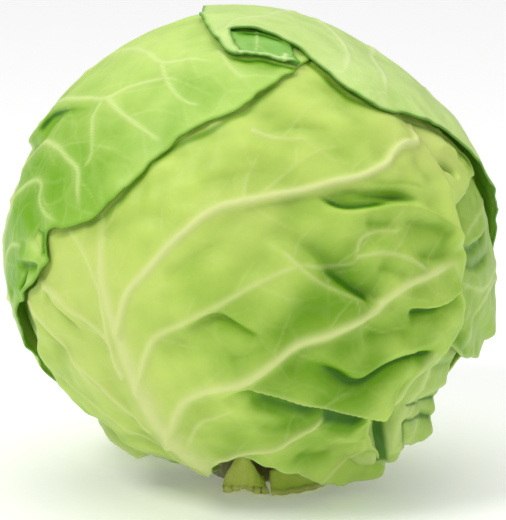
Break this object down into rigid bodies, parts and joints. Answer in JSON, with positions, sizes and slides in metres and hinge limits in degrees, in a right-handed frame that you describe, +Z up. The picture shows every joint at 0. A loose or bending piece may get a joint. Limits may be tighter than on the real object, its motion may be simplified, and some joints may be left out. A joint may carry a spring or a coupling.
{
  "type": "cabbage head",
  "caption": "Whole head of pale green cabbage: a tight round heart wrapped in broad veined leaves with ruffled edges, standing on its cut stump.",
  "frame": {"origin": "centre of the stump's flat cut foot, on the surface the head stands on", "axes": "+Z up through the crown, -Y towards the big front leaf, +X towards the right as that leaf is faced"},
  "size_m": [0.1834, 0.1754, 0.17],
  "materials": {
    "heart": "satin, waxy",
    "stump": "matt, cut and slightly dried",
    "inner_leaf": "satin, waxy",
    "front_leaf": "satin, waxy",
    "outer_leaf": "satin, waxy",
    "stub": "matt, cut"
  },
  "bodies": {
    "root": {"heart": "heart", "stump": "stump", "lower_left_leaf": "inner_leaf", "lower_right_leaf": "inner_leaf", "right_leaf": "inner_leaf", "front_leaf": "front_leaf", "left_leaf": "outer_leaf", "crown_leaf": "outer_leaf", "front_stub": "stub", "right_stub": "stub"}
  },
  "joints": []
}
